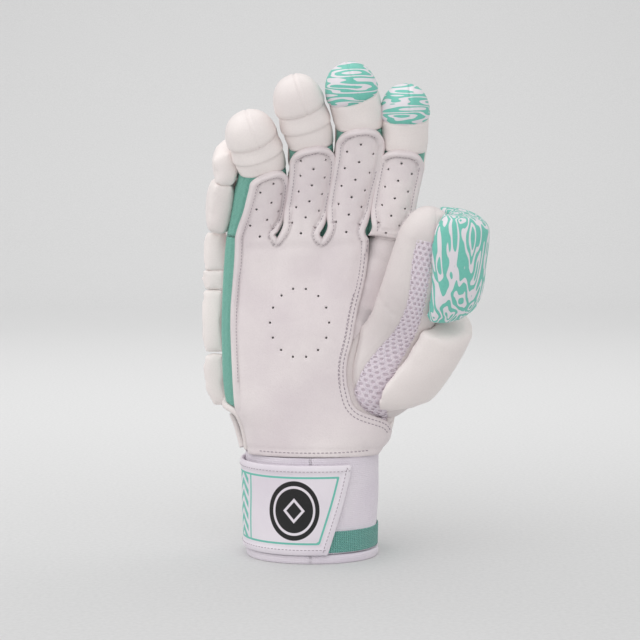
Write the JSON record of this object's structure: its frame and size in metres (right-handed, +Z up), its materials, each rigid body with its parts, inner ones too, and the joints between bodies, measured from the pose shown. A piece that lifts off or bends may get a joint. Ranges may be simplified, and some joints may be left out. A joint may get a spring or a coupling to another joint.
{
  "type": "cricket batting glove",
  "caption": "Right-hand cricket batting glove with padded fingers and thumb, perforated leather palm, ribbed gussets and a strapped cuff, standing on its cuff.",
  "frame": {"origin": "middle of the glove's box at its foot, where the cuff's hem stands on the surface", "axes": "+Z up, from the cuff to the fingertips; -Y the way the palm faces; +X the thumb's side"},
  "size_m": [0.1658, 0.0914, 0.2881],
  "materials": {
    "palm": "soft perforated palm leather, matt",
    "pad_leather": "smooth white leather over foam, satin",
    "gusset": "ribbed stretch knit, teal",
    "print": "teal and white printed leather, satin",
    "mesh": "open air mesh, white",
    "knit": "padded cuff cloth, white",
    "band": "woven elastic band, teal",
    "strap": "smooth white strap with a teal border"
  },
  "bodies": {
    "root": {"palm": "palm", "index_front": "palm", "back_panel": "pad_leather", "gusset_little_ring": "gusset", "gusset_ring_middle": "gusset", "gusset_middle_index": "gusset", "gusset_little_side": "gusset", "web_panel": "palm", "gusset_index_side": "gusset", "little_cap": "pad_leather", "ring_cap": "pad_leather", "middle_cap": "pad_leather", "index_cap": "pad_leather", "little_tip_pad": "pad_leather", "ring_tip_pad": "pad_leather", "middle_tip_pad": "print", "index_tip_pad": "print", "little_base_roll": "pad_leather", "little_middle_roll": "pad_leather", "ring_base_roll": "pad_leather", "ring_middle_roll": "pad_leather", "middle_base_roll": "pad_leather", "middle_middle_roll": "pad_leather", "index_base_roll": "pad_leather", "index_middle_roll": "pad_leather", "index_knuckle_pad": "pad_leather", "middle_knuckle_pad": "pad_leather", "ring_knuckle_pad": "pad_leather", "little_knuckle_pad": "pad_leather", "index_hand_pad": "pad_leather", "middle_hand_pad": "pad_leather", "ring_hand_pad": "pad_leather", "little_hand_pad": "pad_leather", "lower_hand_pad": "pad_leather", "side_pad_1": "pad_leather", "side_pad_2": "pad_leather", "side_pad_3": "pad_leather", "side_pad_4": "pad_leather", "thumb_front": "palm", "thumb_mesh": "mesh", "thumb_back": "pad_leather", "thumb_web": "palm", "thumb_tip_pad": "print", "thumb_base_pad": "pad_leather", "wristband": "knit", "cuff_hem": "knit", "cuff_band": "band", "strap": "strap", "vent_binding_front": "pad_leather", "vent_binding_back": "pad_leather"}
  },
  "joints": []
}
